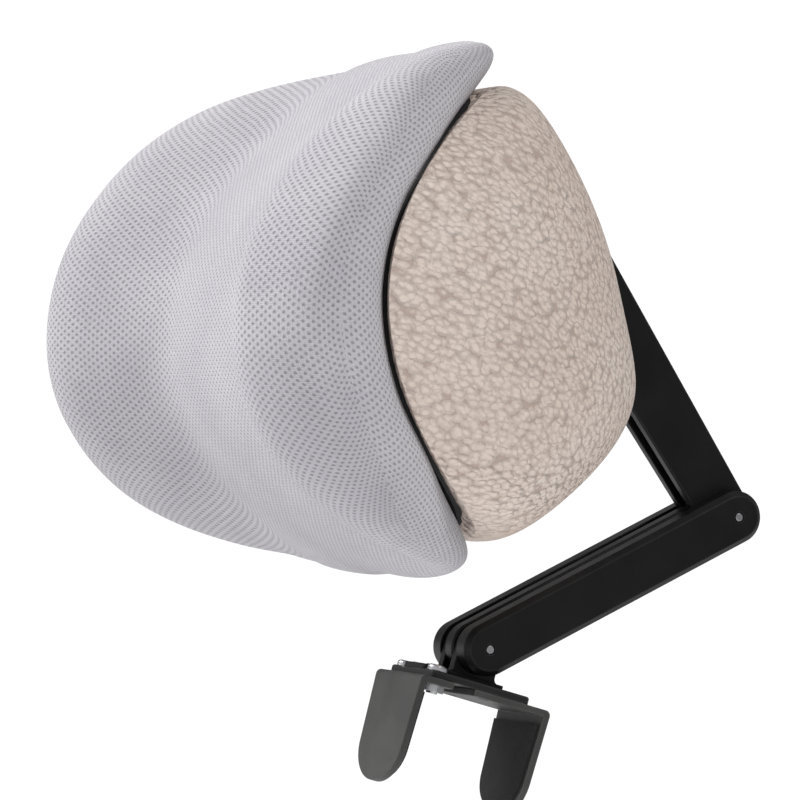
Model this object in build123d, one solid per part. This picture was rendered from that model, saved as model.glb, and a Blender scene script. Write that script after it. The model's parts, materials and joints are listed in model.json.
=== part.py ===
from build123d import *
import math
import os

# Clip-on headrest for an office chair.
# Millimetres. +Z is up, -Y is towards the person in front, +X is the person's left.
# The origin is the middle of the seat face, the underside of the clamp that lies
# on the top edge of a chair back. Hinge axes all run along X.

# ---- clamp -------------------------------------------------------------------
sheet_t = 2.4                 # thickness of both hooks
slide_gap = 0.1               # running gap above the rear hook's flange
hook_reach = 26.0             # outer face of each hook, from the origin
hook_half_width = 20.3
hook_taper = 1.6              # each side narrows by this much at the rounded end
rear_hook_half_width = 19.5
bend_radius = 2.0
over = 1.0                    # cutting shapes run this far past the piece
hook_depth = 37.4             # how far the hooks hang below the seat face
hook_arc_height = 14.0        # height of the rounded end of a hook
liner_t = 1.5
liner_inset = 1.6             # the liner is this much smaller than its hook
liner_top = -3.4              # clear of the nuts under the front flange

base_half_width = 19.5
base_front = -22.0
base_rear = 17.5
base_t = 2.6
base_bottom = sheet_t
base_top = base_bottom + base_t
base_corner_radius = 3.0
base_bevel = 0.5

front_flange_end = -13.2
front_screw_x = 13.6
front_screw_y = -18.0
rear_flange_end = -4.5
rear_screw_x = 13.8
rear_screw_y = 2.0
rear_travel_in = 8.0          # the rear hook closes by this much
rear_travel_out = 10.0        # and opens by this much

screw_radius = 2.0
screw_hole_radius = 2.15
thread_hole_radius = 2.03
pan_head_radius = 3.6
pan_head_height = 2.2
low_head_radius = 3.5
low_head_height = 1.2
slot_recess_radius = 3.8
slot_recess_depth = 1.3
pan_head_round = 1.2
cross_half_length = 2.0
cross_half_width = 0.45
cross_above_seat = 1.0        # the cross recess starts this far above the head's seat
slot_half_length = 2.6
slot_half_width = 0.5
slot_above_seat = 0.6
low_head_gap = 0.05           # under the low heads, so that the rear hook can slide
low_screw_end = 0.2           # the low screws stop this far above the seat face
nut_across_flats = 7.0
nut_height = 2.4
screw_end = 0.6               # thread showing below a nut

# ---- hinge stack -------------------------------------------------------------
foot_t = 1.8
foot_half_width = 9.4
foot_front = -21.5
foot_rear = 10.8
foot_top = base_top + foot_t
foot_corner_radius = 2.0
ear_foot_radius = 2.0
rivet_radius = 1.75
rivet_head_radius = 2.8
rivet_fit_radius = 1.77
rivet_head_height = 0.5
rivet_head_bevel = 0.35
rivet_places = ((-6.0, -16.5), (6.0, -16.5), (0.0, 8.0))

pivot_y = -1.0
pivot_z = 17.5
ear_half_width = 8.3
middle_half_t = 3.1           # half the middle plate of the lower arm
leaf_inner = 3.25             # ears and upper plates lie between these two
leaf_outer = 6.8
washer_inner = 6.82
washer_outer = 7.16
side_inner = 7.2              # outer plates of the lower arm
side_outer = 15.4
side_bevel = 1.9
washer_radius = 8.0
washer_bore_radius = 3.16

pin_radius = 3.0
pin_fit_radius = 3.02         # bore that is fixed to its pin
pin_run_radius = 3.06         # bore that turns on its pin
pin_half_length = 13.2
pin_tip_radius = 1.5
pin_tip_hole_radius = 1.85
pin_tip_proud = 0.1
pin_tip_round = 0.4
pin_end_gap = 0.2

# ---- arms --------------------------------------------------------------------
link_length = 109.0
lower_angle = 41.2            # lower arm above the horizontal, pointing rearward
upper_angle = 139.6           # upper arm, pointing forward and up
lower_radius = 9.5
upper_elbow_radius = 9.9
upper_head_radius = 12.4
sleeve_radius = 4.5
sleeve_places = (0.34, 0.62)  # along each arm, as shares of its length
middle_bevel = 0.6
leaf_bevel = 0.5
tie_end_gap = 0.1
head_bolt_head = 2.0
head_bolt_head_radius = 5.5
head_bolt_round = 1.2
head_bolt_socket = 2.0        # half the width across the socket's flats
head_bolt_socket_floor = 0.8
head_nut_half_flats = 5.0
head_nut_height = 3.0
tie_radius = 2.0
tie_fit_radius = 2.03
lower_tie_half = 13.0
upper_tie_half = 6.0

# ---- headrest, in its own leaning frame ---------------------------------------
head_lean = 16.0
pivot_behind = 78.5           # head pivot behind the middle of the headrest
pivot_above = 18.5

pad_half_width = 124.0
pad_half_height = 92.5
pad_top_power = 2.8
pad_bottom_power = 2.8
pad_edge_power = 3.6
valley_y = -56.0              # front of the pad between its wings
wing_rise = 39.0
wing_start = 30.0
wing_end = 104.0
belly_z = -12.0               # the pad stands furthest forward at this height
sweep_top = 0.0064
sweep_bottom = 0.0080

saddle_y = -20.0              # parting surface between the pad and the back
saddle_side = 0.0017
saddle_top = 0.0074
saddle_bottom = 0.0066
pan_half_t = 1.1
pan_margin = 5.0              # the pan stops this far inside the back's edge
parting_gap = 0.3

back_half_width = 117.0
back_half_height = 80.5
back_z = -1.0
back_power = 3.0
back_round_power = 2.2
back_rim = 4.0
back_depth = 107.0
back_deepest_z = -22.0
back_slope_top = 0.0056
back_slope_bottom = 0.0160

skin_t = 2.0
section_shares = (-0.985, -0.93, -0.8, -0.55, -0.27, 0.0, 0.27, 0.55, 0.8, 0.93, 0.985)
loop_steps = 12               # spans across each section of the pad and the back
pan_steps = 4                 # spans across half of each section of the pan
rim_half_depth = 1.5
rim_share = 0.72              # where the rim lies between the pad's front and its back

pocket_half_width = 13.0
pocket_bottom = -42.0
pocket_top = 38.0
pocket_wall = 1.2
pocket_floor = 56.5
pocket_floor_t = 1.5
pocket_gap = 0.15
beyond_back = 140.0           # behind everything in the headrest
mount_half_width = 11.0
mount_bottom = -26.0
mount_top = 36.5
mount_t = 3.0
mount_corner_radius = 3.0
mount_front = pocket_floor + pocket_floor_t
mount_rear = mount_front + mount_t
lug_radius = 9.0
lug_foot_bottom = 2.0
lug_foot_top = 33.0
mount_screw_x = 7.4
mount_screw_z = (-21.0, 31.0)
mount_screw_length = 12.0
mount_screw_bevel = 0.3
screw_room_half = 4.0         # room left in the foam round the screw ends
screw_room_depth = 16.0
insert_radius = 3.0
insert_fit_radius = 3.02
insert_length = 8.0
core_half_width = 45.0
core_bottom = -48.0
core_top = 42.0
core_t = 10.0
core_gap = 0.15
core_corner_radius = 12.0


# ---- helpers -----------------------------------------------------------------
def block(x0, x1, y0, y1, z0, z1):
    centre = Pos((x0 + x1) / 2, (y0 + y1) / 2, (z0 + z1) / 2)
    return centre * Box(x1 - x0, y1 - y0, z1 - z0)


def rod_x(y, z, radius, x0, x1):
    return Pos((x0 + x1) / 2, y, z) * Rot(0, 90, 0) * Cylinder(radius, x1 - x0)


def rod_y(x, z, radius, y0, y1):
    return Pos(x, (y0 + y1) / 2, z) * Rot(90, 0, 0) * Cylinder(radius, y1 - y0)


def rod_z(x, y, radius, z0, z1):
    return Pos(x, y, (z0 + z1) / 2) * Cylinder(radius, z1 - z0)


def tube_x(y, z, radius, bore, x0, x1):
    return rod_x(y, z, radius, x0, x1) - rod_x(y, z, bore, x0 - over, x1 + over)


def slot_y(x, y0, y1, radius, z0, z1):
    """Slot along Y with round ends, centred on x."""
    middle = block(x - radius, x + radius, y0, y1, z0, z1)
    return middle + rod_z(x, y0, radius, z0, z1) + rod_z(x, y1, radius, z0, z1)


def both_sides(make):
    """The same piece on the left and on the right."""
    return [make(1), make(-1)]


def link_plate(length, r_start, r_end, x0, x1):
    """Plate with two round ends and straight sides that touch both, along +Y."""
    lean = math.asin((r_start - r_end) / length)
    rise, along = math.cos(lean), math.sin(lean)
    a = (r_start * along, r_start * rise)
    b = (length + r_end * along, r_end * rise)
    c = (b[0], -b[1])
    d = (a[0], -a[1])
    top = Line(a, b)
    far_end = ThreePointArc(b, (length + r_end, 0), c)
    bottom = Line(c, d)
    near_end = ThreePointArc(d, (-r_start, 0), a)
    profile = make_face([top, far_end, bottom, near_end])
    return extrude(Plane.YZ.offset(x0) * profile, amount=x1 - x0)


def bevelled(plate, side):
    """Cut the long bevel round the outer face of a side plate."""
    outer = plate.faces().sort_by(Axis.X)[-1 if side > 0 else 0]
    return chamfer(outer.edges(), side_bevel)


def span(side, inner, outer):
    return (inner, outer) if side > 0 else (-outer, -inner)


def on_lower_arm(piece):
    return Location((0, pivot_y, pivot_z), (lower_angle, 0, 0)) * piece


def on_upper_arm(piece):
    return Location((0, elbow_y, elbow_z), (upper_angle, 0, 0)) * piece


def on_headrest(piece):
    return Location((0, head_y, head_z), (head_lean, 0, 0)) * piece


def turned(y, z, angle):
    a = math.radians(angle)
    return y * math.cos(a) - z * math.sin(a), y * math.sin(a) + z * math.cos(a)


reach_y, reach_z = turned(link_length, 0, lower_angle)
elbow_y = pivot_y + reach_y
elbow_z = pivot_z + reach_z
reach_y, reach_z = turned(link_length, 0, upper_angle)
head_pivot_y = elbow_y + reach_y
head_pivot_z = elbow_z + reach_z
back_y, back_up = turned(pivot_behind, pivot_above, head_lean)
head_y = head_pivot_y - back_y
head_z = head_pivot_z - back_up


# ---- clamp pieces --------------------------------------------------------------
def hook_outline(half_width, top, inset=0.0):
    """Front view of a hook: sides that narrow below the seat, to a rounded end."""
    side = half_width - inset
    tip = half_width - hook_taper - inset
    arc_z = -hook_depth + hook_arc_height
    arc_height = hook_arc_height - inset
    end = EllipticalCenterArc((0, arc_z), tip, arc_height, start_angle=180, arc_size=180)
    rim = Polyline((tip, arc_z), (side, 0), (side, top), (-side, top), (-side, 0), (-tip, arc_z))
    return make_face([end, rim])


def bent_hook(half_width, top, flange_end, way):
    """Sheet bent through a right angle. Its blade hangs on the side given by way."""
    outer = way * hook_reach
    inner = way * (hook_reach - sheet_t)
    low = -hook_depth - over
    corners = [(flange_end, 0), (inner, 0), (inner, low), (outer, low),
               (outer, top), (flange_end, top)]
    profile = make_face(Polyline(*corners, close=True))
    bend = [v for v in profile.vertices() if abs(v.X - outer) < 0.01 and abs(v.Y - top) < 0.01]
    profile = fillet(bend, bend_radius)
    sheet = extrude(Plane.YZ.offset(-half_width) * profile, amount=2 * half_width)
    outline = Plane.XZ.offset(-hook_reach - over) * hook_outline(half_width, top + over)
    return sheet & extrude(outline, amount=2 * (hook_reach + over))


def make_front_hook():
    hook = bent_hook(hook_half_width, sheet_t, front_flange_end, -1)
    for side in (1, -1):
        hook -= rod_z(side * front_screw_x, front_screw_y, screw_hole_radius,
                      -over, sheet_t + over)
    return hook


def make_rear_hook():
    hook = bent_hook(rear_hook_half_width, sheet_t - slide_gap, rear_flange_end, 1)
    for side in (1, -1):
        hook -= rod_z(side * rear_screw_x, rear_screw_y, thread_hole_radius,
                      -over, sheet_t + over)
    return hook


def make_liner(y0, y1):
    outline = Plane.XZ.offset(-y1) * hook_outline(rear_hook_half_width, over, liner_inset)
    sheet = extrude(outline, amount=y1 - y0)
    return sheet - block(-hook_reach, hook_reach, y0 - over, y1 + over, liner_top, 2 * over)


def make_base_plate():
    plate = block(-base_half_width, base_half_width, base_front, base_rear, base_bottom, base_top)
    plate = fillet(plate.edges().filter_by(Axis.Z), base_corner_radius)
    plate = chamfer(plate.faces().sort_by(Axis.Z)[-1].edges(), base_bevel)
    first = rear_screw_y - rear_travel_in
    last = rear_screw_y + rear_travel_out
    for side in (1, -1):
        x = side * rear_screw_x
        plate -= slot_y(x, first, last, screw_hole_radius, base_bottom - over, base_top + over)
        plate -= slot_y(x, first, last, slot_recess_radius,
                        base_top - slot_recess_depth, base_top + over)
        plate -= rod_z(side * front_screw_x, front_screw_y, screw_hole_radius,
                       base_bottom - over, base_top + over)
    for x, y in rivet_places:
        plate -= rod_z(x, y, rivet_fit_radius, base_bottom - over, base_top + over)
    return plate


def make_front_screw(side):
    x = side * front_screw_x
    head = rod_z(x, front_screw_y, pan_head_radius, base_top, base_top + pan_head_height)
    head = fillet(head.edges().sort_by(Axis.Z)[-1], pan_head_round)
    floor = base_top + cross_above_seat
    clear = base_top + pan_head_height + over
    cross = block(x - cross_half_length, x + cross_half_length,
                  front_screw_y - cross_half_width, front_screw_y + cross_half_width,
                  floor, clear)
    cross += block(x - cross_half_width, x + cross_half_width,
                   front_screw_y - cross_half_length, front_screw_y + cross_half_length,
                   floor, clear)
    shank = rod_z(x, front_screw_y, screw_radius, -nut_height - screw_end, base_top)
    return head + shank - cross


def make_front_nut(side):
    x = side * front_screw_x
    profile = RegularPolygon(nut_across_flats / 2, 6, major_radius=False)
    nut = Pos(x, front_screw_y, -nut_height) * extrude(profile, amount=nut_height)
    return nut - rod_z(x, front_screw_y, thread_hole_radius, -nut_height - over, over)


def make_rear_screw(side):
    x = side * rear_screw_x
    under_head = base_top - slot_recess_depth + low_head_gap
    head = rod_z(x, rear_screw_y, low_head_radius, under_head, under_head + low_head_height)
    head -= block(x - slot_half_length, x + slot_half_length,
                  rear_screw_y - slot_half_width, rear_screw_y + slot_half_width,
                  under_head + slot_above_seat, under_head + low_head_height + over)
    return head + rod_z(x, rear_screw_y, screw_radius, low_screw_end, under_head)


def make_hinge_bracket():
    foot = block(-foot_half_width, foot_half_width, foot_front, foot_rear, base_top, foot_top)
    foot = fillet(foot.edges().filter_by(Axis.Z), foot_corner_radius)
    bracket = foot
    for side in (1, -1):
        x0, x1 = span(side, leaf_inner, leaf_outer)
        ear = block(x0, x1, pivot_y - ear_half_width, pivot_y + ear_half_width,
                    foot_top - 0.5, pivot_z)
        ear += rod_x(pivot_y, pivot_z, ear_half_width, x0, x1)
        bracket += ear
    corners = bracket.edges().filter_by(Axis.X).filter_by(
        lambda e: abs(e.center().Z - foot_top) < 0.01
        and abs(abs(e.center().Y - pivot_y) - ear_half_width) < 0.01)
    bracket = fillet(corners, ear_foot_radius)
    bracket -= rod_x(pivot_y, pivot_z, pin_run_radius, -leaf_outer - over, leaf_outer + over)
    for x, y in rivet_places:
        bracket -= rod_z(x, y, rivet_fit_radius, base_top - over, foot_top + over)
    return bracket


def make_bracket_rivets():
    rivets = []
    for x, y in rivet_places:
        head = rod_z(x, y, rivet_head_radius, foot_top, foot_top + rivet_head_height)
        head = chamfer(head.edges().sort_by(Axis.Z)[-1], rivet_head_bevel)
        rivets.append(head + rod_z(x, y, rivet_radius, base_bottom, foot_top))
    return rivets


# ---- hinge pins and arms, each along +Y from its first pivot -------------------
def make_pin(y):
    pin = rod_x(y, 0, pin_radius, -pin_half_length, pin_half_length)
    tip_half_length = side_outer + pin_tip_proud
    tip = rod_x(y, 0, pin_tip_radius, -tip_half_length, tip_half_length)
    return pin + fillet(tip.edges().filter_by(GeomType.CIRCLE), pin_tip_round)


def make_washers(y, inner=washer_inner, outer=washer_outer, radius=washer_radius):
    def washer(side):
        x0, x1 = span(side, inner, outer)
        return tube_x(y, 0, radius, washer_bore_radius, x0, x1)
    return both_sides(washer)


def make_side_plate(side):
    x0, x1 = span(side, side_inner, side_outer)
    plate = bevelled(link_plate(link_length, lower_radius, lower_radius, x0, x1), side)
    for y in (0, link_length):
        deep = span(side, side_inner - over, pin_half_length + pin_end_gap)
        plate -= rod_x(y, 0, pin_fit_radius, *deep)
        plate -= rod_x(y, 0, pin_tip_hole_radius, *span(side, side_inner, side_outer + over))
    for share in sleeve_places:
        deep = span(side, side_inner - over, lower_tie_half + tie_end_gap)
        plate -= rod_x(share * link_length, 0, tie_fit_radius, *deep)
    return plate


def make_middle_plate():
    plate = link_plate(link_length, lower_radius, lower_radius, -middle_half_t, middle_half_t)
    rims = plate.edges().filter_by(lambda e: abs(e.center().X) > middle_half_t / 2)
    plate = chamfer(rims, middle_bevel)
    through = (-middle_half_t - over, middle_half_t + over)
    for y in (0, link_length):
        plate -= rod_x(y, 0, pin_fit_radius, *through)
    for share in sleeve_places:
        plate -= rod_x(share * link_length, 0, tie_fit_radius, *through)
    return plate


def make_lower_sleeves():
    sleeves = []
    for share in sleeve_places:
        for side in (1, -1):
            x0, x1 = span(side, middle_half_t, side_inner)
            sleeves.append(tube_x(share * link_length, 0, sleeve_radius, tie_fit_radius, x0, x1))
    return sleeves


def make_ties(half_length, places):
    return [rod_x(share * link_length, 0, tie_radius, -half_length, half_length)
            for share in places]


def make_leaf(side):
    x0, x1 = span(side, leaf_inner, leaf_outer)
    leaf = link_plate(link_length, upper_elbow_radius, upper_head_radius, x0, x1)
    outer = leaf.faces().sort_by(Axis.X)[-1 if side > 0 else 0]
    leaf = chamfer(outer.edges(), leaf_bevel)
    for y in (0, link_length):
        leaf -= rod_x(y, 0, pin_run_radius, *span(side, leaf_inner - over, leaf_outer + over))
    for share in sleeve_places:
        deep = span(side, leaf_inner - over, upper_tie_half + tie_end_gap)
        leaf -= rod_x(share * link_length, 0, tie_fit_radius, *deep)
    return leaf


def make_upper_sleeves():
    return [tube_x(share * link_length, 0, sleeve_radius, tie_fit_radius, -leaf_inner, leaf_inner)
            for share in sleeve_places]


def make_head_bolt():
    shank = rod_x(link_length, 0, pin_radius, -washer_outer - head_nut_height, washer_outer)
    head = rod_x(link_length, 0, head_bolt_head_radius, washer_outer,
                 washer_outer + head_bolt_head)
    head = fillet(head.edges().sort_by(Axis.X)[-1], head_bolt_round)
    hexagon = RegularPolygon(head_bolt_socket, 6, major_radius=False)
    socket = Pos(0, link_length, 0) * extrude(
        Plane.YZ.offset(washer_outer + head_bolt_socket_floor) * hexagon,
        amount=head_bolt_head + over)
    return shank + head - socket


def make_head_nut():
    profile = RegularPolygon(head_nut_half_flats, 6, major_radius=False)
    outer = washer_outer + head_nut_height
    nut = Pos(0, link_length, 0) * extrude(Plane.YZ.offset(-outer) * profile,
                                           amount=head_nut_height)
    return nut - rod_x(link_length, 0, pin_fit_radius, -outer - over, 0)


# ---- headrest shapes -------------------------------------------------------------
def smooth_step(t):
    t = min(max(t, 0.0), 1.0)
    return t * t * (3 - 2 * t)


def parting(x, z):
    """Saddle surface between the mesh pad and the leather back."""
    rise = saddle_top if z > 0 else saddle_bottom
    return saddle_y - saddle_side * x * x + rise * z * z


def pad_front(x, z):
    """Front of the pad: a valley between two wings, swept back at top and bottom."""
    sweep = sweep_top if z > belly_z else sweep_bottom
    wing = wing_rise * smooth_step((abs(x) - wing_start) / (wing_end - wing_start))
    return valley_y - wing + sweep * (z - belly_z) ** 2


def outline_half_width(z, half_width, half_height, power):
    return half_width * (1 - min(abs(z) / half_height, 1.0) ** power) ** (1 / power)


def pad_loop(share, skin):
    half_width = pad_half_width - skin
    half_height = pad_half_height - skin
    z = share * half_height
    power = pad_top_power if z > 0 else pad_bottom_power
    reach = outline_half_width(z, half_width, half_height, power)
    front, rear = [], []
    for i in range(loop_steps + 1):
        x = -reach * math.cos(math.pi * i / loop_steps)
        rho = ((abs(x) / half_width) ** power + (abs(z) / half_height) ** power) ** (1 / power)
        fullness = (1 - min(rho, 1.0) ** pad_edge_power) ** (1 / pad_edge_power)
        front_y = pad_front(x, z) + skin
        rear_y = parting(x, z) - pan_half_t - parting_gap - skin
        depth = rear_y - front_y
        rim_y = front_y + rim_share * depth
        front.append((x, rim_y - max(fullness * rim_share * depth, rim_half_depth)))
        rear.append((x, rim_y + max(fullness * (1 - rim_share) * depth, rim_half_depth)))
    edges = [Spline(*front), Line(front[-1], rear[-1]),
             Spline(*rear[::-1]), Line(rear[0], front[0])]
    return Plane.XY.offset(z) * make_face(edges)


def back_depth_at(z):
    slope = back_slope_top if z > back_deepest_z else back_slope_bottom
    return back_depth - slope * (z - back_deepest_z) ** 2


def back_loop(share, skin):
    half_width = back_half_width - skin
    half_height = back_half_height - skin
    level = share * half_height
    z = level + back_z
    reach = outline_half_width(level, half_width, half_height, back_power)
    front, rear = [], []
    for i in range(loop_steps + 1):
        x = -reach * math.cos(math.pi * i / loop_steps)
        rho = (abs(x) / half_width) ** back_power + (abs(level) / half_height) ** back_power
        rho = min(rho ** (1 / back_power), 1.0)
        fullness = (1 - rho ** back_round_power) ** (1 / back_round_power)
        seat = parting(x, z) + pan_half_t + parting_gap + skin
        front.append((x, seat))
        rear.append((x, seat + back_rim - skin + fullness * (back_depth_at(z) - skin)))
    edges = [Spline(*front), Line(front[-1], rear[-1]),
             Spline(*rear[::-1]), Line(rear[0], front[0])]
    return Plane.XY.offset(z) * make_face(edges)


def make_pad(skin):
    return loft([pad_loop(share, skin) for share in section_shares])


def make_back(skin):
    return loft([back_loop(share, skin) for share in section_shares])


def make_front_pan():
    loops = []
    half_width = back_half_width - pan_margin
    half_height = back_half_height - pan_margin
    for share in section_shares:
        level = share * half_height
        z = level + back_z
        reach = outline_half_width(level, half_width, half_height, back_power)
        xs = [reach * (i / pan_steps - 1) for i in range(2 * pan_steps + 1)]
        front = [(x, parting(x, z) - pan_half_t) for x in xs]
        rear = [(x, parting(x, z) + pan_half_t) for x in xs]
        edges = [Spline(*front), Line(front[-1], rear[-1]),
                 Spline(*rear[::-1]), Line(rear[0], front[0])]
        loops.append(Plane.XY.offset(z) * make_face(edges))
    return loft(loops)


def pocket_space(grow):
    return block(-pocket_half_width - grow, pocket_half_width + grow,
                 pocket_floor - grow, beyond_back, pocket_bottom - grow, pocket_top + grow)


def make_pocket_liner(envelope):
    wall = pocket_wall
    room = block(-pocket_half_width + wall, pocket_half_width - wall,
                 mount_front, beyond_back, pocket_bottom + wall, pocket_top - wall)
    tub = pocket_space(0) & envelope
    tub -= room
    for x, z in mount_screw_places():
        tub -= rod_y(x, z, screw_hole_radius, pocket_floor - over, mount_front + over)
    return tub


def mount_screw_places():
    return [(side * mount_screw_x, z) for z in mount_screw_z for side in (1, -1)]


def make_core_panel():
    rear = pocket_floor - pocket_gap
    panel = block(-core_half_width, core_half_width, rear - core_t, rear, core_bottom, core_top)
    panel = fillet(panel.edges().filter_by(Axis.Y), core_corner_radius)
    for x, z in mount_screw_places():
        panel -= rod_y(x, z, insert_fit_radius, rear - insert_length, rear + over)
        panel -= rod_y(x, z, screw_hole_radius, rear - core_t - over, rear + over)
    return panel


def make_inserts():
    rear = pocket_floor - pocket_gap
    inserts = []
    for x, z in mount_screw_places():
        insert = rod_y(x, z, insert_radius, rear - insert_length, rear)
        bore = rod_y(x, z, thread_hole_radius, rear - insert_length - over, rear + over)
        inserts.append(insert - bore)
    return inserts


def make_head_bracket():
    plate = block(-mount_half_width, mount_half_width, mount_front, mount_rear,
                  mount_bottom, mount_top)
    plate = fillet(plate.edges().filter_by(Axis.Y), mount_corner_radius)
    foot = (mount_rear - 0.5, lug_foot_bottom)
    head = (mount_rear - 0.5, lug_foot_top)
    low = (pivot_behind, pivot_above - lug_radius)
    high = (pivot_behind, pivot_above + lug_radius)
    nose = (pivot_behind + lug_radius, pivot_above)
    profile = make_face([Line(foot, low), ThreePointArc(low, nose, high),
                         Line(high, head), Line(head, foot)])
    lug = extrude(Plane.YZ.offset(-middle_half_t) * profile, amount=2 * middle_half_t)
    bracket = plate + lug
    bracket -= rod_x(pivot_behind, pivot_above, pin_run_radius,
                     -middle_half_t - over, middle_half_t + over)
    for x, z in mount_screw_places():
        bracket -= rod_y(x, z, screw_hole_radius, mount_front - over, mount_rear + over)
    return bracket


def make_mount_screws():
    screws = []
    for x, z in mount_screw_places():
        head = rod_y(x, z, low_head_radius, mount_rear, mount_rear + low_head_height)
        head = chamfer(head.edges().sort_by(Axis.Y)[-1], mount_screw_bevel)
        screws.append(head + rod_y(x, z, screw_radius, mount_rear - mount_screw_length,
                                   mount_rear))
    return screws


# ---- the whole assembly ----------------------------------------------------------
def build():
    nodes = {}
    nodes["base_plate"] = make_base_plate()
    nodes["front_hook"] = make_front_hook()
    inner = hook_reach - sheet_t
    nodes["front_hook_liner"] = make_liner(-inner, -inner + liner_t)
    nodes["front_hook_screws"] = both_sides(make_front_screw)
    nodes["front_hook_nuts"] = both_sides(make_front_nut)
    nodes["hinge_bracket"] = make_hinge_bracket()
    nodes["bracket_rivets"] = make_bracket_rivets()

    nodes["rear_hook"] = make_rear_hook()
    nodes["rear_hook_liner"] = make_liner(inner - liner_t, inner)
    nodes["rear_hook_screws"] = both_sides(make_rear_screw)

    lower = {
        "lower_arm_left_plate": make_side_plate(1),
        "lower_arm_right_plate": make_side_plate(-1),
        "lower_arm_middle_plate": make_middle_plate(),
        "lower_arm_sleeves": make_lower_sleeves(),
        "lower_arm_tie_rivets": make_ties(lower_tie_half, sleeve_places),
        "lower_pivot_pin": make_pin(0),
        "lower_pivot_washers": make_washers(0),
        "elbow_pin": make_pin(link_length),
        "elbow_washers": make_washers(link_length),
    }
    upper = {
        "upper_arm_left_plate": make_leaf(1),
        "upper_arm_right_plate": make_leaf(-1),
        "upper_arm_sleeves": make_upper_sleeves(),
        "upper_arm_tie_rivets": make_ties(upper_tie_half, sleeve_places),
        "head_pivot_bolt": make_head_bolt(),
        "head_pivot_nut": make_head_nut(),
        "head_pivot_washers": make_washers(link_length),
    }

    back_outer = make_back(0.0)
    back_inner = make_back(skin_t)
    pad_outer = make_pad(0.0)
    pad_inner = make_pad(skin_t)
    core = make_core_panel()
    rear = pocket_floor - pocket_gap
    core_room = block(-core_half_width - core_gap, core_half_width + core_gap,
                      rear - core_t - core_gap, rear,
                      core_bottom - core_gap, core_top + core_gap)
    screw_room = block(-mount_screw_x - screw_room_half, mount_screw_x + screw_room_half,
                       rear - screw_room_depth, rear,
                       mount_screw_z[0] - screw_room_half, mount_screw_z[1] + screw_room_half)
    head = {
        "head_bracket": make_head_bracket(),
        "head_bracket_screws": make_mount_screws(),
        "threaded_inserts": make_inserts(),
        "core_panel": core,
        "pocket_liner": make_pocket_liner(back_outer),
        "back_foam": back_inner - pocket_space(pocket_gap) - core_room - screw_room,
        "leather_cover": back_outer - back_inner - pocket_space(pocket_gap),
        "front_pan": make_front_pan(),
        "front_foam": pad_inner,
        "mesh_cover": pad_outer - pad_inner,
    }
    for placed, group in ((on_lower_arm, lower), (on_upper_arm, upper), (on_headrest, head)):
        for name, piece in group.items():
            nodes[name] = [placed(p) for p in piece] if isinstance(piece, list) else placed(piece)
    return nodes


def main():
    os.makedirs("parts", exist_ok=True)
    print(f"elbow {elbow_y:.3f} {elbow_z:.3f}")
    print(f"head pivot {head_pivot_y:.3f} {head_pivot_z:.3f}")
    print(f"headrest middle {head_y:.3f} {head_z:.3f}")
    for name, piece in build().items():
        solids = piece if isinstance(piece, list) else piece.solids()
        flat = [s for p in solids for s in p.solids()]
        shape = flat[0] if len(flat) == 1 else Compound(children=flat)
        export_step(shape, f"parts/{name}.step")


main()
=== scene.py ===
import json
import math

import bmesh
import bpy
import numpy as np
from mathutils import Matrix, Vector


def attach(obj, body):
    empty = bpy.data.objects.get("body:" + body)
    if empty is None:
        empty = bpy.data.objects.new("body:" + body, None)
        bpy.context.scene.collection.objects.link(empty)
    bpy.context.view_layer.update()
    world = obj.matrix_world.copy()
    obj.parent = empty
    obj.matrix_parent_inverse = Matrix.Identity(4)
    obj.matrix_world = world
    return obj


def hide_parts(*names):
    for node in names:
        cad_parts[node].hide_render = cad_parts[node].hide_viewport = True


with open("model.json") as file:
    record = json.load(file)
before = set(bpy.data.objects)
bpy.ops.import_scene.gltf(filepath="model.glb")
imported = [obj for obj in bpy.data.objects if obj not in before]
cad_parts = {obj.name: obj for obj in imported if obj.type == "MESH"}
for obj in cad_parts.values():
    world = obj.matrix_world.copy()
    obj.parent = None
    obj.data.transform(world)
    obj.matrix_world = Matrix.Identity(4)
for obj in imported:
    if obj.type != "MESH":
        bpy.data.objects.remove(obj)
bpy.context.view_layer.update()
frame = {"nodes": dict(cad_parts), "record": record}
record = frame["record"]
joints = {j["name"]: j for j in record["behaviour"]["joints"]}

MM = 0.001
TINY = 1e-9
HEAD_LEAN = math.radians(16.0)
PIVOT_BEHIND, PIVOT_ABOVE = 78.5, 18.5      # head pivot from the headrest's middle, mm


# ---- the headrest's own leaning frame ------------------------------------------
pivot = Vector(joints["head_tilt"]["pos_m"])
lean = Matrix.Rotation(HEAD_LEAN, 4, "X")
HEAD = Matrix.Translation(pivot) @ lean @ Matrix.Translation(
    Vector((0, -PIVOT_BEHIND * MM, -PIVOT_ABOVE * MM)))


# ---- node helpers ----------------------------------------------------------------
NOISE_ROUGHNESS = 0.55


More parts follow.
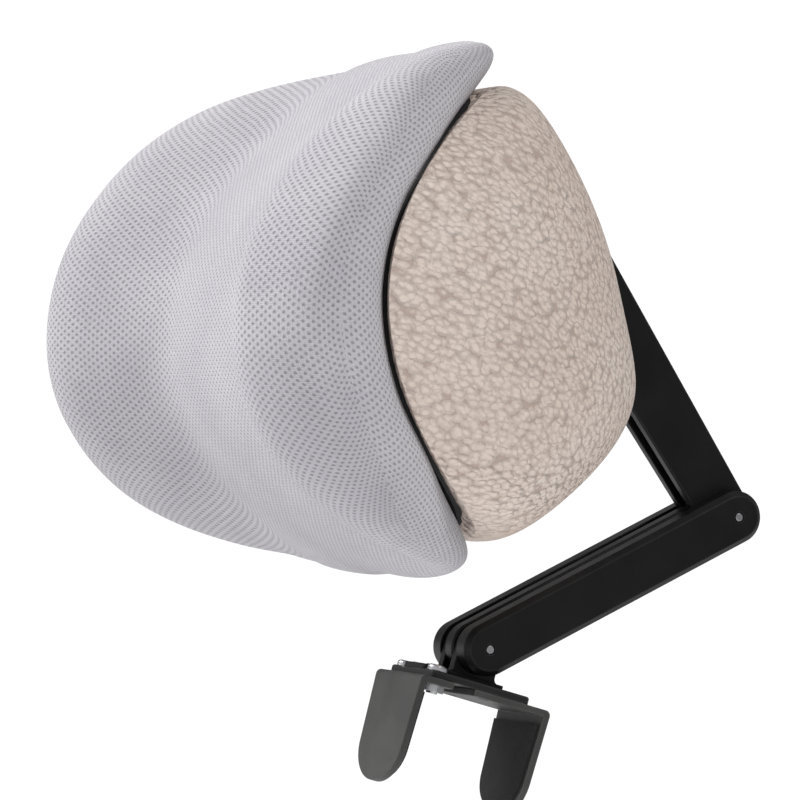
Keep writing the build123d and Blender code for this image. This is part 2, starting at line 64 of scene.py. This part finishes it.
class Nodes:
    """A short way to write a material's node graph."""

    def __init__(self, name):
        self.mat = bpy.data.materials.new(name)
        self.mat.use_nodes = True
        self.tree = self.mat.node_tree
        self.bsdf = self.tree.nodes["Principled BSDF"]

    def put(self, socket, value):
        if isinstance(value, bpy.types.NodeSocket):
            self.tree.links.new(value, socket)
        else:
            socket.default_value = value

    def add(self, kind, inputs=(), **settings):
        node = self.tree.nodes.new(kind)
        for key, value in settings.items():
            setattr(node, key, value)
        for key, value in dict(inputs).items():
            self.put(node.inputs[key], value)
        return node

    def math(self, operation, a, b=0.0):
        return self.add("ShaderNodeMath", {0: a, 1: b}, operation=operation).outputs[0]

    def span(self, value, low, high, to_low=0.0, to_high=1.0, smooth=True):
        """Map low..high to to_low..to_high. The low end may be the larger number."""
        kind = "SMOOTHSTEP" if smooth else "LINEAR"
        node = self.add("ShaderNodeMapRange", {0: value, 1: low, 2: high, 3: to_low, 4: to_high},
                        interpolation_type=kind)
        return node.outputs[0]

    def mix(self, factor, a, b):
        node = self.add("ShaderNodeMix", data_type="RGBA")
        for key, value in ((0, factor), (6, a), (7, b)):
            self.put(node.inputs[key], value)
        return node.outputs[2]

    def noise(self, scale, detail=3.0, where=None):
        inputs = {"Scale": scale, "Detail": detail, "Roughness": NOISE_ROUGHNESS}
        if where is not None:
            inputs["Vector"] = where
        return self.add("ShaderNodeTexNoise", inputs).outputs["Fac"]

    def coords(self, kind="Object"):
        return self.add("ShaderNodeTexCoord").outputs[kind]

    def bump(self, height, strength, distance, under=None):
        inputs = {"Strength": strength, "Distance": distance, "Height": height}
        if under is not None:
            inputs["Normal"] = under
        return self.add("ShaderNodeBump", inputs).outputs[0]

    def shader(self, **values):
        for key, value in values.items():
            self.put(self.bsdf.inputs[key.replace("_", " ")], value)
        return self.mat


def rgb(r, g, b):
    return (r, g, b, 1.0)


def scaled(colour, share):
    return rgb(*[c * share for c in colour])


# ---- materials, lengths in metres --------------------------------------------------
EDGE_RADIUS = 0.7 * MM          # how wide the worn edges of coated metal are
CLOUD_SCALE = 45.0
RUBBED_FLAT, RUBBED_SHARP = 0.995, 0.86      # agreement of true and softened normal
CELL_SCALE = 700.0              # foam cells


def coated_metal(name, colour, worn, rough, specular, grain):
    """Painted or coated metal: fine grain, cloudy roughness, paler along its edges."""
    n = Nodes(name)
    where = n.coords()
    fine = n.noise(grain, 2.0, where)
    cloud = n.noise(CLOUD_SCALE, 4.0, where)
    soft = n.add("ShaderNodeBevel", {"Radius": EDGE_RADIUS}, samples=4)
    plain = n.add("ShaderNodeNewGeometry").outputs["Normal"]
    same = n.add("ShaderNodeVectorMath", {0: soft.outputs[0], 1: plain}, operation="DOT_PRODUCT")
    edge = n.span(same.outputs["Value"], RUBBED_FLAT, RUBBED_SHARP)
    rubbed = n.math("MULTIPLY", edge, n.span(cloud, 0.3, 0.75, 0.35, 1.0))
    toned = n.mix(n.span(cloud, 0.3, 0.7), scaled(colour, 0.85), scaled(colour, 1.15))
    return n.shader(
        Base_Color=n.mix(rubbed, toned, rgb(*worn)),
        Roughness=n.span(cloud, 0.25, 0.75, rough - 0.06, rough + 0.08),
        Specular_IOR_Level=specular,
        Normal=n.bump(fine, 0.12, 0.2 * MM, soft.outputs[0]))


def bare_metal(name, colour, rough):
    """Polished or plated metal with a faint grain."""
    n = Nodes(name)
    where = n.coords()
    cloud = n.noise(160.0, 3.0, where)
    return n.shader(
        Base_Color=n.mix(cloud, scaled(colour, 0.8), rgb(*colour)),
        Metallic=1.0,
        Roughness=n.span(cloud, 0.3, 0.7, rough - 0.07, rough + 0.1),
        Normal=n.bump(n.noise(900.0, 2.0, where), 0.15, 0.1 * MM))


def moulded(name, colour, rough, grain, strength):
    """Moulded plastic or rubber with a fine spark-eroded grain."""
    n = Nodes(name)
    where = n.coords()
    cloud = n.noise(60.0, 3.0, where)
    return n.shader(
        Base_Color=n.mix(cloud, scaled(colour, 0.8), scaled(colour, 1.2)),
        Roughness=n.span(cloud, 0.3, 0.7, rough - 0.05, rough + 0.08),
        Specular_IOR_Level=0.3,
        Normal=n.bump(n.noise(grain, 3.0, where), strength, 0.3 * MM))


def plywood():
    n = Nodes("core_wood")
    where = n.coords()
    wave = n.add("ShaderNodeTexWave", {"Vector": where, "Scale": 60.0, "Distortion": 6.0,
                                       "Detail": 3.0}, bands_direction="X").outputs["Fac"]
    grain = n.noise(300.0, 4.0, where)
    tone = n.mix(wave, rgb(0.42, 0.27, 0.14), rgb(0.62, 0.44, 0.26))
    return n.shader(Base_Color=n.mix(n.math("MULTIPLY", grain, 0.4), tone, rgb(0.3, 0.19, 0.1)),
                    Roughness=0.75, Normal=n.bump(grain, 0.3, 0.3 * MM))


def foam():
    n = Nodes("foam")
    where = n.coords()
    cells = n.add("ShaderNodeTexVoronoi",
                  {"Vector": where, "Scale": CELL_SCALE}).outputs["Distance"]
    return n.shader(Base_Color=n.mix(cells, rgb(0.5, 0.48, 0.42), rgb(0.78, 0.76, 0.7)),
                    Roughness=0.95, Normal=n.bump(cells, 0.6, 0.6 * MM))


HOLE_PITCH_X, HOLE_PITCH_Z = 3.3 * MM, 2.6 * MM
HOLE_RADIUS, HOLE_CORE = 0.72, 0.28          # a hole starts, and is fully deep and fully dark with painted shade, here, mm
# painted shade in the mesh's holes: how far the yarn colour goes toward the shade colour
HOLE_SHADE_SHARE = 0.55
RIBS_PER_CELL, STRANDS_PER_CELL = 4, 6
KNIT_SHARE = 0.12               # relief of the yarn beside the depth of a hole
KNIT_DEPTH = 1.0 * MM
YARN_DARK, YARN_PALE = rgb(0.585, 0.562, 0.605), rgb(0.66, 0.64, 0.675)
YARN_FUZZ = rgb(0.78, 0.77, 0.8)
# colour of the painted shade inside the holes
HOLE_PAINTED_SHADE = rgb(0.17, 0.155, 0.19)


def mesh_fabric():
    """Knitted mesh with two staggered holes in each cell, read from the sewn UV map; painted
    shade darkens the holes.
    """
    n = Nodes("mesh_fabric")
    uv = n.add("ShaderNodeSeparateXYZ", {0: n.coords("UV")})
    wobble = n.noise(260.0, 2.0, n.coords())
    shift = n.span(wobble, 0.3, 0.7, -0.05, 0.05, smooth=False)
    u = n.math("ADD", n.math("DIVIDE", uv.outputs[0], HOLE_PITCH_X), shift)
    v = n.math("ADD", n.math("DIVIDE", uv.outputs[1], HOLE_PITCH_Z), shift)
    distances = []
    for offset in (0.0, 0.5):
        du = n.math("SUBTRACT", n.math("FRACT", n.math("ADD", u, offset)), 0.5)
        dv = n.math("SUBTRACT", n.math("FRACT", n.math("ADD", v, offset)), 0.5)
        du = n.math("MULTIPLY", du, HOLE_PITCH_X / MM)
        dv = n.math("MULTIPLY", dv, HOLE_PITCH_Z / MM)
        distances.append(n.math("SQRT", n.math("ADD", n.math("MULTIPLY", du, du),
                                               n.math("MULTIPLY", dv, dv))))
    distance = n.math("MINIMUM", *distances)
    # the hole mask sets both the holes' depth and the painted shade in them
    hole = n.span(distance, HOLE_RADIUS, HOLE_CORE)
    rib = n.math("SINE", n.math("MULTIPLY", v, 2 * math.pi * RIBS_PER_CELL))
    strand = n.math("SINE", n.math("MULTIPLY", u, 2 * math.pi * STRANDS_PER_CELL))
    knit = n.math("MULTIPLY", n.math("ADD", rib, strand), KNIT_SHARE)
    height = n.math("ADD", n.math("SUBTRACT", 1.0, hole), knit)
    cloud = n.noise(28.0, 4.0, n.coords())
    yarn = n.mix(n.span(cloud, 0.3, 0.7), YARN_DARK, YARN_PALE)
    fuzz = n.noise(1500.0, 2.0, n.coords())
    yarn = n.mix(n.math("MULTIPLY", fuzz, 0.25), yarn, YARN_FUZZ)
    return n.shader(
        # painted shade darkens the holes, most at their middles
        Base_Color=n.mix(n.math("MULTIPLY", hole, HOLE_SHADE_SHARE), yarn, HOLE_PAINTED_SHADE),
        Roughness=0.88, Specular_IOR_Level=0.2, Sheen_Weight=0.25, Sheen_Roughness=0.5,
        Normal=n.bump(height, 0.7, KNIT_DEPTH))


PEBBLE_SCALE = 350.0            # pebbles per metre, before the stretch
PEBBLE_STRETCH = (1.0, 0.72, 1.15)
STIR_SCALE, STIR_REACH = 240.0, 1.6 * MM     # noise that makes the pebbles irregular
PEBBLE_FOOT, PEBBLE_TOP = 0.98, 0.22         # distances from a pebble's middle, in cells
PEBBLE_DEPTH = 1.7 * MM
LEATHER_DARK, LEATHER_PALE = rgb(0.76, 0.63, 0.545), rgb(0.82, 0.705, 0.625)
# painted shade in the creases between the pebbles: its colour, where it starts and how strong it
# gets
CREASE_SHADE_COLOUR = rgb(0.33, 0.23, 0.19)
CREASE_SHADE_START, CREASE_SHADE_DARKNESS = 0.35, 0.6


def pebbled_leather():
    """Rounded pebbles, with painted shade darkening the creases between them."""
    n = Nodes("leather_beige")
    where = n.coords()
    stir = n.add("ShaderNodeTexNoise", {"Vector": where, "Scale": STIR_SCALE, "Detail": 2.0})
    push = n.add("ShaderNodeVectorMath", {0: stir.outputs["Color"], 1: (0.5, 0.5, 0.5)},
                 operation="SUBTRACT").outputs[0]
    push = n.add("ShaderNodeVectorMath", {0: push, "Scale": STIR_REACH},
                 operation="SCALE").outputs[0]
    stirred = n.add("ShaderNodeVectorMath", {0: where, 1: push}, operation="ADD").outputs[0]
    long_cells = n.add("ShaderNodeMapping", {"Vector": stirred, "Rotation": (0.5, 0.0, 0.0),
                                             "Scale": PEBBLE_STRETCH}).outputs[0]
    dome = n.add("ShaderNodeTexVoronoi", {"Vector": long_cells, "Scale": PEBBLE_SCALE},
                 feature="F1").outputs["Distance"]
    pebble = n.span(dome, PEBBLE_FOOT, PEBBLE_TOP)
    cloud = n.noise(22.0, 4.0, where)
    pore = n.noise(1400.0, 2.0, where)
    base = n.mix(n.span(cloud, 0.3, 0.7), LEATHER_DARK, LEATHER_PALE)
    # painted shade in the creases between pebbles
    base = n.mix(n.span(pebble, CREASE_SHADE_START, 0.0, 0.0, CREASE_SHADE_DARKNESS), base, CREASE_SHADE_COLOUR)
    height = n.math("ADD", pebble, n.math("MULTIPLY", pore, 0.10))
    return n.shader(
        Base_Color=base, Roughness=n.span(pebble, 0.0, 1.0, 0.64, 0.46),
        Specular_IOR_Level=0.4,
        Normal=n.bump(height, 1.0, PEBBLE_DEPTH))


def floor_white():
    n = Nodes("floor")
    return n.shader(Base_Color=n.mix(n.noise(3.0), rgb(0.86, 0.86, 0.865), rgb(0.9, 0.9, 0.9)),
                    Roughness=0.7, Emission_Color=rgb(1, 1, 1), Emission_Strength=0.15)


MATERIALS = {
    "clamp_metal": coated_metal("clamp_metal", (0.009, 0.009, 0.0095), (0.07, 0.07, 0.07),
                                0.42, 0.3, 1800.0),
    "tongue_metal": coated_metal("tongue_metal", (0.052, 0.052, 0.050), (0.16, 0.16, 0.155),
                                 0.5, 0.3, 2200.0),
    "arm_metal": coated_metal("arm_metal", (0.0045, 0.0045, 0.0047), (0.045, 0.045, 0.046),
                              0.40, 0.22, 1500.0),
    "screw_steel": bare_metal("screw_steel", (0.75, 0.75, 0.77), 0.28),
    "dark_steel": coated_metal("dark_steel", (0.02, 0.02, 0.021), (0.12, 0.12, 0.12),
                               0.38, 0.4, 1200.0),
    "pin_steel": bare_metal("pin_steel", (0.36, 0.36, 0.37), 0.42),
    "washer_plastic": moulded("washer_plastic", (0.03, 0.03, 0.03), 0.6, 900.0, 0.1),
    "liner_rubber": moulded("liner_rubber", (0.02, 0.02, 0.02), 0.85, 700.0, 0.3),
    "shell_plastic": moulded("shell_plastic", (0.012, 0.012, 0.013), 0.6, 1100.0, 0.2),
    "core_wood": plywood(),
    "insert_brass": bare_metal("insert_brass", (0.8, 0.6, 0.25), 0.3),
    "foam": foam(),
    "leather_beige": pebbled_leather(),
    "mesh_fabric": mesh_fabric(),
}
for entry in record["subparts"]:
    node = frame["nodes"][entry["node"]]
    if not node.material_slots:
        node.data.materials.append(None)
    for material_slot in node.material_slots:
        material_slot.material = MATERIALS[entry["material_slot"]]


# ---- headrest surfaces, millimetres in the leaning frame -------------------------
SADDLE_Y = -20.0                # the parting surface between the pad and the back
SADDLE_SIDE, SADDLE_TOP, SADDLE_BOTTOM = 0.0017, 0.0074, 0.0066
SEAT_GAP = 0.4                  # each half stops this short of the parting surface

VALLEY_Y = -56.0                # the pad's front between its wings
WING_RISE, WING_START, WING_SPAN = 40.0, 52.0, 52.0
BELLY_Z = -12.0                 # the pad stands furthest forward at this height
SWEEP_TOP, SWEEP_BOTTOM = 0.0064, 0.0080
EASE_TOP, EASE_BOTTOM = 0.014, 0.012
EASE_TOP_FROM, EASE_BOTTOM_FROM = 74.0, 54.0

PAD_A, PAD_B = 124.0, 92.0      # half the pad's width and height
PAD_POWER_TOP, PAD_POWER_BOTTOM = 3.3, 3.1
PAD_LEAST_DEPTH = 4.0
RIM_SHARE = 0.70                # where the rim lies between the pad's front and its back
TIP_RIM_DROP = 0.12             # and how much further forward at the upper and lower ends
TIP_START, TIP_SPAN = 38.0, 42.0
LOW_EDGE_LIFT = 0.010           # the lower half is this much shorter than the upper half
LOW_EDGE_SPAN = 60.0
FRONT_FALL, FRONT_ROUND = 5.0, 2.3
REAR_FALL, TIP_REAR_FALL, REAR_ROUND = 20.0, 8.0, 2.4
PADDING_LEAN = 0.7              # how far padding follows the slope of the middle sheet
PADDING_LEAN_FROM = 0.55
SLOPE_STEP = 0.5

BACK_A, BACK_B, BACK_Z = 117.0, 80.5, -1.0
BACK_POWER = 3.0
BACK_ROUND = 2.2
BACK_DEPTH, BACK_RIM = 106.0, 3.0
BACK_DEEPEST_Z = -22.0
BACK_SLOPE_TOP, BACK_SLOPE_BOTTOM = 0.0060, 0.0164


def smooth_step(t):
    t = np.clip(t, 0.0, 1.0)
    return t * t * (3 - 2 * t)


def parting(x, z):
    """Saddle where the pad and the back meet."""
    return SADDLE_Y - SADDLE_SIDE * x ** 2 + np.where(z > 0, SADDLE_TOP, SADDLE_BOTTOM) * z ** 2


def sweep_back(z):
    """How far the front sweeps rearward above and below its belly, easing off at the ends."""
    level = z - BELLY_Z
    rate = np.where(level > 0, SWEEP_TOP, SWEEP_BOTTOM)
    ease = np.where(level > 0, EASE_TOP, EASE_BOTTOM)
    end = np.maximum(np.abs(level) - np.where(level > 0, EASE_TOP_FROM, EASE_BOTTOM_FROM), 0)
    return rate * level ** 2 - ease * end ** 2


def pad_front(x, z):
    """Front of the pad: a valley between two wings."""
    wing = WING_RISE * smooth_step((np.abs(x) - WING_START) / WING_SPAN)
    return VALLEY_Y - wing + sweep_back(z)


def pad_power(z):
    return np.where(z > 0, PAD_POWER_TOP, PAD_POWER_BOTTOM)


def back_power(z):
    return np.full_like(z, BACK_POWER)


def tip_share(z):
    """0 across the middle of the pad, rising to 1 at its upper and lower ends."""
    return smooth_step((np.abs(z) - TIP_START) / TIP_SPAN)


def rim_share(z):
    return RIM_SHARE - TIP_RIM_DROP * tip_share(z)


def pad_middle(x, z):
    """The sheet through the pad's rim, and the pad's depth there."""
    front = pad_front(x, z)
    back = np.maximum(parting(x, z) - SEAT_GAP, front + PAD_LEAST_DEPTH)
    return front + rim_share(z) * (back - front), back - front


def pad_surface(x, z, rear):
    """Point on the pad: it is padded at right angles to its own curved middle sheet."""
    power = pad_power(z)
    rho = ((np.abs(x) / PAD_A) ** power + (np.abs(z) / PAD_B) ** power) ** (1 / power)
    rho = np.clip(rho, 0, 1)
    middle, depth = pad_middle(x, z)
    step = SLOPE_STEP
    slope_x = (pad_middle(x + step, z)[0] - pad_middle(x - step, z)[0]) / (2 * step)
    slope_z = (pad_middle(x, z + step)[0] - pad_middle(x, z - step)[0]) / (2 * step)
    size = np.sqrt(1 + slope_x ** 2 + slope_z ** 2)
    tip = smooth_step((rho - PADDING_LEAN_FROM) / (1 - PADDING_LEAN_FROM))
    lean_x = -slope_x / size * tip * PADDING_LEAN
    lean_z = -slope_z / size * tip * PADDING_LEAN
    lean_y = np.sqrt(1 - lean_x ** 2 - lean_z ** 2)
    rear_fall = REAR_FALL - TIP_REAR_FALL * tip_share(z)
    full = np.where(rear, (1 - rho ** rear_fall) ** (1 / REAR_ROUND),
                    (1 - rho ** FRONT_FALL) ** (1 / FRONT_ROUND))
    reach = np.where(rear, 1 - rim_share(z), -rim_share(z)) * depth * full
    reach = reach * (1 - tip * (1 - 1 / size))
    height = z + lean_z * reach
    height = height * (1 - LOW_EDGE_LIFT * smooth_step(-height / LOW_EDGE_SPAN))
    return x + lean_x * reach, middle + lean_y * reach, height


def back_surface(x, z, rear):
    """Point on the leather back: a saddle seat in front and a dome behind."""
    level = z - BACK_Z
    rho = ((np.abs(x) / BACK_A) ** BACK_POWER + (np.abs(level) / BACK_B) ** BACK_POWER)
    rho = np.clip(rho ** (1 / BACK_POWER), 0, 1)
    full = np.clip(1 - rho ** BACK_ROUND, 0, 1) ** (1 / BACK_ROUND)
    slope = np.where(z > BACK_DEEPEST_Z, BACK_SLOPE_TOP, BACK_SLOPE_BOTTOM)
    depth = BACK_DEPTH - slope * (z - BACK_DEEPEST_Z) ** 2
    seat = parting(x, z) + SEAT_GAP
    return x, np.where(rear, seat + BACK_RIM + full * depth, seat), z


# ---- cushions -----------------------------------------------------------------------
GRID = 72                       # squares along each side of a cushion's sheets
ARC_STEPS = 32                  # steps for measuring along a sheet
PRESSURE = 3.0
SIM_FRAMES = 20
PAD_SWELL, BACK_SWELL = 0.8 * MM, 2.0 * MM   # the most that the cushions swell


def sheet_grid(n, a, b, power, centre_z, rim_power):
    """Grid points (x, z) that fill a superellipse, closer together near its rim."""
    t = np.linspace(-1, 1, n + 1)
    u, v = np.meshgrid(t, t, indexing="ij")
    ring = np.maximum(np.abs(u), np.abs(v))
    at_centre = ring < TINY
    safe = np.where(at_centre, 1.0, ring)
    pu = np.where(at_centre, 1.0, u / safe)
    pv = v / safe
    p = power(pv)
    k = 1 / ((np.abs(pu) ** p + np.abs(pv) ** p) ** (1 / p))
    rho = 1 - (1 - ring) ** rim_power
    return a * pu * k * rho, b * pv * k * rho + centre_z


def arc_length(surface, x, z, rear, along_x):
    """Distance over the surface from its middle line to each point, with its sign."""
    steps = np.sin(np.linspace(0, math.pi / 2, ARC_STEPS + 1))
    total = np.zeros_like(x)
    target = x if along_x else z
    last = None
    for share in steps:
        px = target * share if along_x else x
        pz = z if along_x else target * share
        here = surface(px, pz, rear)
        if last is not None:
            total += np.sqrt(sum((p - q) ** 2 for p, q in zip(here, last)))
        last = here
    return np.sign(target) * total


def padded_mesh(name, a, b, power, centre_z, surface, rim_power):
    """Closed cushion: a front and a rear sheet that share their rim, with a sewn UV map."""
    n = GRID
    grid_x, grid_z = sheet_grid(n, a, b, power, centre_z, rim_power)
    verts, index, sewn = [], {}, {}
    for rear in (False, True):
        flag = np.full(grid_x.shape, rear)
        x, y, z = surface(grid_x, grid_z, flag)
        s = arc_length(surface, grid_x, grid_z, flag, True) * MM
        t = arc_length(surface, grid_x, grid_z, flag, False) * MM
        sewn[rear] = (s, t)
        for i in range(n + 1):
            for j in range(n + 1):
                rim = i in (0, n) or j in (0, n)
                key = (i, j) if rim else (i, j, rear)
                if key not in index:
                    index[key] = len(verts)
                    verts.append((x[i, j] * MM, y[i, j] * MM, z[i, j] * MM))
    faces, uvs = [], []
    for rear in (False, True):
        for i in range(n):
            for j in range(n):
                corners = [(i, j), (i + 1, j), (i + 1, j + 1), (i, j + 1)]
                if rear:
                    corners.reverse()
                faces.append([index[key] if key in index else index[key + (rear,)]
                              for key in corners])
                uvs += [(sewn[rear][0][key], sewn[rear][1][key]) for key in corners]
    mesh = bpy.data.meshes.new(name)
    mesh.from_pydata(verts, [], faces)
    layer = mesh.uv_layers.new(name="sewn")
    layer.data.foreach_set("uv", np.array(uvs).ravel())
    mesh.shade_smooth()
    obj = bpy.data.objects.new(name, mesh)
    bpy.context.collection.objects.link(obj)
    return obj


def swell(obj, most):
    """Cloth simulation with pressure and no gravity, its result kept as the mesh."""
    scene = bpy.context.scene
    rest = np.array([v.co[:] for v in obj.data.vertices])
    cloth = obj.modifiers.new("Cloth", "CLOTH")
    settings = cloth.settings
    settings.quality = 5
    settings.use_pressure = True
    settings.uniform_pressure_force = PRESSURE
    settings.effector_weights.gravity = 0
    cloth.point_cache.frame_start = 1
    cloth.point_cache.frame_end = SIM_FRAMES
    for step in range(1, SIM_FRAMES + 1):
        scene.frame_set(step)
    posed = obj.evaluated_get(bpy.context.evaluated_depsgraph_get()).to_mesh()
    moved = np.array([v.co[:] for v in posed.vertices]) - rest
    length = np.linalg.norm(moved, axis=1)
    share = np.where(length > most, most / np.maximum(length, TINY), 1.0)
    obj.modifiers.remove(cloth)
    scene.frame_set(1)
    obj.data.vertices.foreach_set("co", (rest + moved * share[:, None]).ravel())
    obj.data.update()


def kept(obj):
    """Apply the object's modifiers to its mesh."""
    shape = bpy.data.meshes.new_from_object(
        obj.evaluated_get(bpy.context.evaluated_depsgraph_get()))
    obj.modifiers.clear()
    obj.data = shape


def smoothed(obj):
    smooth = obj.modifiers.new("Smooth", "SUBSURF")
    smooth.levels = smooth.render_levels = 1
    kept(obj)


def settle(obj, slot_name):
    """Move the mesh from the leaning frame to its place, and let it ride the headrest."""
    obj.data.transform(HEAD)
    obj.data.materials.clear()
    obj.data.materials.append(MATERIALS[slot_name])
    bpy.context.view_layer.update()
    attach(obj, "headrest")


pad = padded_mesh("mesh_pad", PAD_A, PAD_B, pad_power, 0.0, pad_surface, 2.2)
swell(pad, PAD_SWELL)
smoothed(pad)
settle(pad, "mesh_fabric")
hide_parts("mesh_cover", "front_foam")

leather = padded_mesh("leather_back", BACK_A, BACK_B, back_power, BACK_Z, back_surface, 2.0)
swell(leather, BACK_SWELL)
smoothed(leather)


# ---- the pocket in the leather back ---------------------------------------------------
POCKET_X, POCKET_LOW, POCKET_HIGH, POCKET_FLOOR = 13.0, -42.0, 38.0, 56.5
POCKET_REACH = 90.0             # the cut runs this far behind the pocket's floor
cutter_mesh = bpy.data.meshes.new("pocket_cutter")
bm = bmesh.new()
bmesh.ops.create_cube(bm, size=1.0)
for v in bm.verts:
    v.co.x *= 2 * POCKET_X * MM
    v.co.y = (POCKET_FLOOR + (v.co.y + 0.5) * POCKET_REACH) * MM
    v.co.z = (POCKET_LOW + (v.co.z + 0.5) * (POCKET_HIGH - POCKET_LOW)) * MM
bm.to_mesh(cutter_mesh)
bm.free()
cutter = bpy.data.objects.new("pocket_cutter", cutter_mesh)
bpy.context.collection.objects.link(cutter)
cut = leather.modifiers.new("Pocket", "BOOLEAN")
cut.operation = "DIFFERENCE"
cut.solver = "EXACT"
cut.object = cutter
bpy.context.view_layer.update()
kept(leather)
bpy.data.objects.remove(cutter)
settle(leather, "leather_beige")
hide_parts("leather_cover", "back_foam")


# ---- piping round the pocket ----------------------------------------------------------
PIPING_RADIUS = 1.1 * MM
PIPING_OFFSET = 0.9             # outside the pocket's edge
PIPING_POINTS, PIPING_SIDES = 120, 10


def pocket_path(count):
    """Points round the pocket's mouth on the leather, evenly spaced."""
    x = POCKET_X + PIPING_OFFSET
    low, high = POCKET_LOW - PIPING_OFFSET, POCKET_HIGH + PIPING_OFFSET
    corners = [(-x, low), (x, low), (x, high), (-x, high)]
    lengths = [2 * x, high - low, 2 * x, high - low]
    around = sum(lengths)
    path = []
    for k in range(count):
        left = k * around / count
        side = 0
        while left > lengths[side]:
            left -= lengths[side]
            side += 1
        start, end = corners[side], corners[(side + 1) % 4]
        share = left / lengths[side]
        px = start[0] + (end[0] - start[0]) * share
        pz = start[1] + (end[1] - start[1]) * share
        place = back_surface(np.array(px), np.array(pz), np.array(True))
        path.append(Vector([float(p) for p in place]) * MM)
    return path


def tube(name, path, radius, sides):
    """Closed round tube along a loop of points."""
    bm = bmesh.new()
    rings = []
    count = len(path)
    for k, here in enumerate(path):
        along = (path[(k + 1) % count] - path[k - 1]).normalized()
        out = along.cross(Vector((0, 1, 0))).normalized()
        up = out.cross(along).normalized()
        ring = []
        for m in range(sides):
            angle = 2 * math.pi * m / sides
            way = out * math.cos(angle) + up * math.sin(angle)
            ring.append(bm.verts.new(here + way * radius))
        rings.append(ring)
    for k in range(count):
        for m in range(sides):
            bm.faces.new((rings[k][m], rings[k][(m + 1) % sides],
                          rings[(k + 1) % count][(m + 1) % sides], rings[(k + 1) % count][m]))
    bmesh.ops.recalc_face_normals(bm, faces=bm.faces)
    mesh = bpy.data.meshes.new(name)
    bm.to_mesh(mesh)
    bm.free()
    mesh.shade_smooth()
    obj = bpy.data.objects.new(name, mesh)
    bpy.context.collection.objects.link(obj)
    return obj


piping = tube("pocket_piping", pocket_path(PIPING_POINTS), PIPING_RADIUS, PIPING_SIDES)
settle(piping, "leather_beige")


# ---- floor, light and camera ------------------------------------------------------------
FLOOR_Z, FLOOR_HALF = -0.20, 12.0
BACKDROP, WORLD_FILL = 1.05, 0.30            # the world as the camera sees it, and as it lights
KEY_STRENGTH, KEY_SPREAD = 2.9, math.radians(32)
KEY_WAY = Vector((0.8, 1.6, -1.05))
TOP_PLACE, TOP_POWER, TOP_SIZE = (1.1, 0.1, 1.6), 13.0, 0.35
LIT_POINT = Vector((0.0, -0.04, 0.09))

CAMERA_PLACE = Vector((1.3026, -0.5794, -0.0747))
CAMERA_WAY = Vector((-0.9205, 0.375, 0.1097))
CAMERA_UP = Vector((0.0, -0.2807, 0.9598))
CAMERA_RAISE = math.radians(0.5722)
CAMERA_LENS, CAMERA_SENSOR = 180.2, 36.0

floor_mesh = bpy.data.meshes.new("floor")
bm = bmesh.new()
bmesh.ops.create_grid(bm, x_segments=8, y_segments=8, size=FLOOR_HALF)
bmesh.ops.translate(bm, verts=bm.verts, vec=(0, 0, FLOOR_Z))
bm.to_mesh(floor_mesh)
bm.free()
floor = bpy.data.objects.new("floor", floor_mesh)
floor.data.materials.append(floor_white())
bpy.context.collection.objects.link(floor)

world = bpy.data.worlds.new("studio")
world.use_nodes = True
sky = world.node_tree
seen = sky.nodes["Background"]
seen.inputs["Color"].default_value = (1.0, 1.0, 1.0, 1.0)
seen.inputs["Strength"].default_value = BACKDROP
dim = sky.nodes.new("ShaderNodeBackground")
dim.inputs["Color"].default_value = (0.97, 0.98, 1.0, 1.0)
dim.inputs["Strength"].default_value = WORLD_FILL
choose = sky.nodes.new("ShaderNodeMixShader")
path_kind = sky.nodes.new("ShaderNodeLightPath")
sky.links.new(path_kind.outputs["Is Camera Ray"], choose.inputs[0])
sky.links.new(dim.outputs[0], choose.inputs[1])
sky.links.new(seen.outputs[0], choose.inputs[2])
sky.links.new(choose.outputs[0], sky.nodes["World Output"].inputs["Surface"])
bpy.context.scene.world = world


def aimed(name, data, way):
    """A light object that shines along the direction given."""
    light = bpy.data.objects.new(name, data)
    light.rotation_euler = way.to_track_quat("-Z", "Y").to_euler()
    bpy.context.collection.objects.link(light)
    return light


sun = bpy.data.lights.new("key", "SUN")
sun.energy = KEY_STRENGTH
sun.angle = KEY_SPREAD
aimed("key", sun, KEY_WAY)

lamp = bpy.data.lights.new("top", "AREA")
lamp.energy = TOP_POWER
lamp.size = TOP_SIZE
aimed("top", lamp, LIT_POINT - Vector(TOP_PLACE)).location = TOP_PLACE

camera_data = bpy.data.cameras.new("camera")
camera_data.sensor_width = CAMERA_SENSOR
camera_data.lens = CAMERA_LENS
camera = bpy.data.objects.new("camera", camera_data)
level = CAMERA_WAY.normalized()
upright = (CAMERA_UP - level * CAMERA_UP.dot(level)).normalized()
forward = level * math.cos(CAMERA_RAISE) + upright * math.sin(CAMERA_RAISE)
above = upright * math.cos(CAMERA_RAISE) - level * math.sin(CAMERA_RAISE)
right = forward.cross(above)
camera.matrix_world = Matrix.Translation(CAMERA_PLACE) @ Matrix(
    (right, above, -forward)).transposed().to_4x4()
bpy.context.collection.objects.link(camera)
bpy.context.scene.camera = camera
bpy.context.scene.view_settings.view_transform = "Standard"
